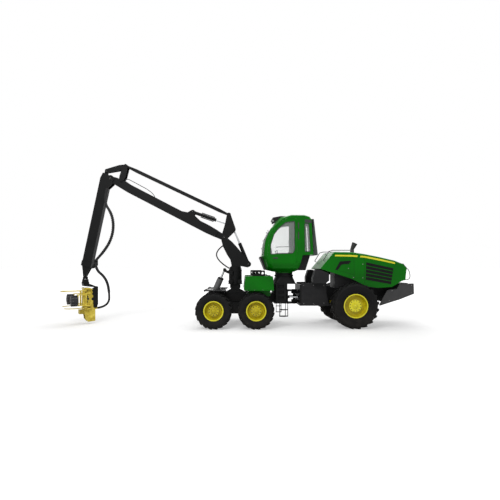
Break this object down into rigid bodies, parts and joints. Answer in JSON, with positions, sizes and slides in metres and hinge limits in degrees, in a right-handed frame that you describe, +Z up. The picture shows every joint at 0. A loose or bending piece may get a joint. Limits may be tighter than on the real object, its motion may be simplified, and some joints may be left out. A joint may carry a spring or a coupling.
{
  "type": "forestry harvester",
  "caption": "Articulated wheeled forestry harvester with a parallel crane, a felling head with grapple knives and feed rollers, and a turning cab.",
  "frame": {"origin": "on the ground under the middle of the bounding box", "axes": "+X along the machine to its rear, -X to the front and the crane, +Z up; the machine's left side is -Y"},
  "size_m": [13.1487, 2.78, 6.156],
  "materials": {
    "yellow_paint": "semi-gloss paint",
    "green_paint": "semi-gloss paint",
    "black_paint": "satin paint",
    "grey_paint": "satin paint",
    "tyre_rubber": "moulded rubber",
    "rod_chrome": "hard chrome",
    "hose_rubber": "smooth rubber",
    "clear_glass": "tinted glass",
    "seat_plastic": "moulded plastic",
    "engine_iron": "rough cast"
  },
  "bodies": {
    "front_frame": {"front_frame": "black_paint", "bogie_axle": "black_paint", "side_tanks": "green_paint", "cab_pedestal": "black_paint"},
    "front_wheel_left": {"front_tyre_left": "tyre_rubber", "front_rim_left": "yellow_paint"},
    "front_wheel_right": {"front_tyre_right": "tyre_rubber", "front_rim_right": "yellow_paint"},
    "middle_wheel_left": {"middle_tyre_left": "tyre_rubber", "middle_rim_left": "yellow_paint"},
    "middle_wheel_right": {"middle_tyre_right": "tyre_rubber", "middle_rim_right": "yellow_paint"},
    "rear_wheel_left": {"rear_tyre_left": "tyre_rubber", "rear_rim_left": "yellow_paint"},
    "rear_wheel_right": {"rear_tyre_right": "tyre_rubber", "rear_rim_right": "yellow_paint"},
    "crane_base": {"crane_base": "black_paint"},
    "tilt_barrels": {"tilt_barrels": "grey_paint"},
    "tilt_rods": {"tilt_rods": "rod_chrome"},
    "crane_column": {"crane_column": "black_paint", "column_hose": "hose_rubber"},
    "rocker_arm": {"rocker_arm": "black_paint"},
    "lift_barrel": {"lift_barrel": "black_paint"},
    "lift_rod": {"lift_rod": "rod_chrome"},
    "main_boom": {"main_boom": "black_paint"},
    "link_bar": {"link_bar": "black_paint"},
    "fold_barrel": {"fold_barrel": "black_paint"},
    "fold_rod": {"fold_rod": "rod_chrome"},
    "knee_strut": {"knee_strut": "black_paint"},
    "jib": {"jib": "black_paint", "jib_hose": "hose_rubber"},
    "knee_link": {"knee_link": "black_paint"},
    "jib_extension": {"jib_extension": "black_paint", "tip_hose": "hose_rubber"},
    "tip_link": {"tip_link": "black_paint"},
    "rotator": {"rotator": "black_paint"},
    "head_hanger": {"head_hanger": "black_paint"},
    "head_frame": {"head_frame": "yellow_paint", "saw_box": "black_paint"},
    "arms_left": {"arms_left": "yellow_paint"},
    "arms_right": {"arms_right": "yellow_paint"},
    "feed_roller_left": {"feed_roller_left": "engine_iron"},
    "feed_roller_right": {"feed_roller_right": "engine_iron"},
    "cab": {"cab_shell": "green_paint", "cab_glass": "clear_glass", "cab_interior": "seat_plastic", "cab_trim": "black_paint"},
    "cab_door": {"cab_door": "green_paint", "door_glass": "clear_glass"},
    "rear_frame": {"rear_frame": "black_paint", "rear_axle": "black_paint", "side_plates": "grey_paint", "engine": "engine_iron"},
    "hood": {"hood": "green_paint", "hood_vents": "black_paint", "handrails": "black_paint"},
    "steering_barrel_left": {"steering_barrel_left": "black_paint"},
    "steering_rod_left": {"steering_rod_left": "rod_chrome"},
    "steering_barrel_right": {"steering_barrel_right": "black_paint"},
    "steering_rod_right": {"steering_rod_right": "rod_chrome"}
  },
  "joints": [
    {"name": "front_wheel_left_spin", "type": "hinge", "parent": "front_frame", "child": "front_wheel_left", "pos_m": [-0.691, -1.09, 0.645], "axis": [0, 1, 0], "continuous": true},
    {"name": "front_wheel_right_spin", "type": "hinge", "parent": "front_frame", "child": "front_wheel_right", "pos_m": [-0.691, 1.09, 0.645], "axis": [0, 1, 0], "continuous": true},
    {"name": "middle_wheel_left_spin", "type": "hinge", "parent": "front_frame", "child": "middle_wheel_left", "pos_m": [0.809, -1.09, 0.645], "axis": [0, 1, 0], "continuous": true},
    {"name": "middle_wheel_right_spin", "type": "hinge", "parent": "front_frame", "child": "middle_wheel_right", "pos_m": [0.809, 1.09, 0.645], "axis": [0, 1, 0], "continuous": true},
    {"name": "rear_wheel_left_spin", "type": "hinge", "parent": "rear_frame", "child": "rear_wheel_left", "pos_m": [4.329, -1.02, 0.815], "axis": [0, 1, 0], "continuous": true},
    {"name": "rear_wheel_right_spin", "type": "hinge", "parent": "rear_frame", "child": "rear_wheel_right", "pos_m": [4.329, 1.02, 0.815], "axis": [0, 1, 0], "continuous": true},
    {"name": "crane_tilt", "type": "hinge", "parent": "front_frame", "child": "crane_base", "pos_m": [0.059, 0, 1.265], "axis": [0, -1, 0], "range_deg": [-13, 19]},
    {"name": "tilt_barrels_swing", "type": "hinge", "parent": "front_frame", "child": "tilt_barrels", "pos_m": [-0.731, 0, 1.225], "axis": [0, -1, 0], "range_deg": [-9, 13]},
    {"name": "tilt_rods_slide", "type": "slide", "parent": "tilt_barrels", "child": "tilt_rods", "axis": [0.3939, 0, 0.9191], "range_m": [-0.245, 0.17]},
    {"name": "crane_slew", "type": "hinge", "parent": "crane_base", "child": "crane_column", "pos_m": [0.059, 0, 2.085], "axis": [0, 0, -1], "range_deg": [-110, 110]},
    {"name": "boom_lift", "type": "hinge", "parent": "crane_column", "child": "rocker_arm", "pos_m": [-0.383, 0, 3.331], "axis": [0, -1, 0], "range_deg": [-40, 20]},
    {"name": "lift_barrel_swing", "type": "hinge", "parent": "crane_column", "child": "lift_barrel", "pos_m": [0.561, 0, 2.306], "axis": [0, -1, 0], "range_deg": [-4, 4]},
    {"name": "lift_rod_slide", "type": "slide", "parent": "lift_barrel", "child": "lift_rod", "axis": [-0.3847, 0, 0.923], "range_m": [-0.36, 0.2]},
    {"name": "boom_reach", "type": "hinge", "parent": "rocker_arm", "child": "main_boom", "pos_m": [-0.383, 0, 3.331], "axis": [0, -1, 0], "range_deg": [-12, 30]},
    {"name": "link_bar_swing", "type": "hinge", "parent": "rocker_arm", "child": "link_bar", "pos_m": [-0.19, 0, 4.21], "axis": [0, -1, 0], "range_deg": [-13, 32]},
    {"name": "fold_barrel_swing", "type": "hinge", "parent": "main_boom", "child": "fold_barrel", "pos_m": [-1.567, 0, 4.318], "axis": [0, -1, 0], "range_deg": [-3, 3]},
    {"name": "fold_rod_slide", "type": "slide", "parent": "fold_barrel", "child": "fold_rod", "axis": [0.944, 0, -0.33], "range_m": [-0.13, 0.3]},
    {"name": "knee_strut_swing", "type": "hinge", "parent": "main_boom", "child": "knee_strut", "pos_m": [-4.327, 0, 5.537], "axis": [0, -1, 0], "range_deg": [-49, 20]},
    {"name": "jib_fold", "type": "hinge", "parent": "main_boom", "child": "jib", "pos_m": [-4.733, 0, 5.588], "axis": [0, -1, 0], "range_deg": [-64, 26]},
    {"name": "knee_link_swing", "type": "hinge", "parent": "jib", "child": "knee_link", "pos_m": [-4.907, 0, 5.885], "axis": [0, -1, 0], "range_deg": [-16, 38]},
    {"name": "jib_extend", "type": "slide", "parent": "jib", "child": "jib_extension", "axis": [-0.2102, 0, -0.9777], "range_m": [0, 2.4], "deforming": ["jib_hose"]},
    {"name": "head_swing", "type": "hinge", "parent": "jib_extension", "child": "tip_link", "pos_m": [-5.743, 0, 1.88], "axis": [0, -1, 0], "range_deg": [-40, 40], "deforming": ["tip_hose"]},
    {"name": "head_sway", "type": "hinge", "parent": "tip_link", "child": "rotator", "pos_m": [-5.743, 0, 1.78], "axis": [1, 0, 0], "range_deg": [-35, 35], "deforming": ["tip_hose"]},
    {"name": "head_turn", "type": "hinge", "parent": "rotator", "child": "head_hanger", "pos_m": [-5.743, 0, 1.605], "axis": [0, 0, 1], "range_deg": [-170, 170], "deforming": ["tip_hose"]},
    {"name": "head_tilt", "type": "hinge", "parent": "head_hanger", "child": "head_frame", "pos_m": [-5.46942, 0.18453, 0.69], "axis": [0.5592, -0.829, 0], "range_deg": [0, 95], "deforming": ["tip_hose"]},
    {"name": "arms_left_grip", "type": "hinge", "parent": "head_frame", "child": "arms_left", "pos_m": [-5.64475, -0.21719, 0.957], "axis": [0, 0, -1], "range_deg": [0, 18]},
    {"name": "arms_right_grip", "type": "hinge", "parent": "head_frame", "child": "arms_right", "pos_m": [-5.90757, 0.17246, 0.957], "axis": [0, 0, 1], "range_deg": [0, 18]},
    {"name": "feed_roller_left_spin", "type": "hinge", "parent": "arms_left", "child": "feed_roller_left", "pos_m": [-5.88992, -0.62983, 0.94], "axis": [0.829, 0.5592, 0], "continuous": true},
    {"name": "feed_roller_right_spin", "type": "hinge", "parent": "arms_right", "child": "feed_roller_right", "pos_m": [-6.38201, 0.09972, 0.94], "axis": [0.829, 0.5592, 0], "continuous": true},
    {"name": "cab_turn", "type": "hinge", "parent": "front_frame", "child": "cab", "pos_m": [1.932, 0, 1.97], "axis": [0, 0, -1], "range_deg": [-80, 80]},
    {"name": "cab_door_open", "type": "hinge", "parent": "cab", "child": "cab_door", "pos_m": [2.352, -0.765, 2.9], "axis": [0, 0, 1], "range_deg": [0, 95]},
    {"name": "frame_steer", "type": "hinge", "parent": "front_frame", "child": "rear_frame", "pos_m": [2.329, 0, 1.065], "axis": [0, 0, 1], "range_deg": [-40, 40]},
    {"name": "hood_tip", "type": "hinge", "parent": "rear_frame", "child": "hood", "pos_m": [6.159, 0, 1.64], "axis": [0, 1, 0], "range_deg": [0, 40]},
    {"name": "steering_barrel_left_swing", "type": "hinge", "parent": "front_frame", "child": "steering_barrel_left", "pos_m": [1.609, -0.28, 1.065], "axis": [0, 0, 1], "range_deg": [-6, 6]},
    {"name": "steering_rod_left_slide", "type": "slide", "parent": "steering_barrel_left", "child": "steering_rod_left", "axis": [0.998, -0.0632, 0], "range_m": [-0.235, 0.235]},
    {"name": "steering_barrel_right_swing", "type": "hinge", "parent": "front_frame", "child": "steering_barrel_right", "pos_m": [1.609, 0.28, 1.065], "axis": [0, 0, 1], "range_deg": [-6, 6]},
    {"name": "steering_rod_right_slide", "type": "slide", "parent": "steering_barrel_right", "child": "steering_rod_right", "axis": [0.998, 0.0632, 0], "range_m": [-0.235, 0.235]}
  ],
  "couplings": [
    {"joint": "arms_right_grip", "follows": "arms_left_grip", "ratio": 1},
    {"joint": "steering_barrel_left_swing", "follows": "frame_steer", "ratio": 0.075},
    {"joint": "steering_rod_left_slide", "follows": "frame_steer", "m_per_rad": 0.306},
    {"joint": "steering_barrel_right_swing", "follows": "frame_steer", "ratio": 0.075},
    {"joint": "steering_rod_right_slide", "follows": "frame_steer", "m_per_rad": -0.306},
    {"joint": "tilt_barrels_swing", "follows": "crane_tilt", "ratio": 0.6555},
    {"joint": "tilt_rods_slide", "follows": "crane_tilt", "m_per_rad": -0.7244},
    {"joint": "lift_barrel_swing", "follows": "boom_lift", "ratio": 0.05},
    {"joint": "lift_rod_slide", "follows": "boom_lift", "m_per_rad": 0.47},
    {"joint": "link_bar_swing", "follows": "boom_reach", "ratio": 1.04},
    {"joint": "fold_barrel_swing", "follows": "boom_reach", "ratio": -0.0287},
    {"joint": "fold_rod_slide", "follows": "boom_reach", "m_per_rad": 0.529},
    {"joint": "knee_strut_swing", "follows": "boom_reach", "ratio": -1.6},
    {"joint": "jib_fold", "follows": "boom_reach", "ratio": -2.1},
    {"joint": "knee_link_swing", "follows": "boom_reach", "ratio": 1.25}
  ]
}
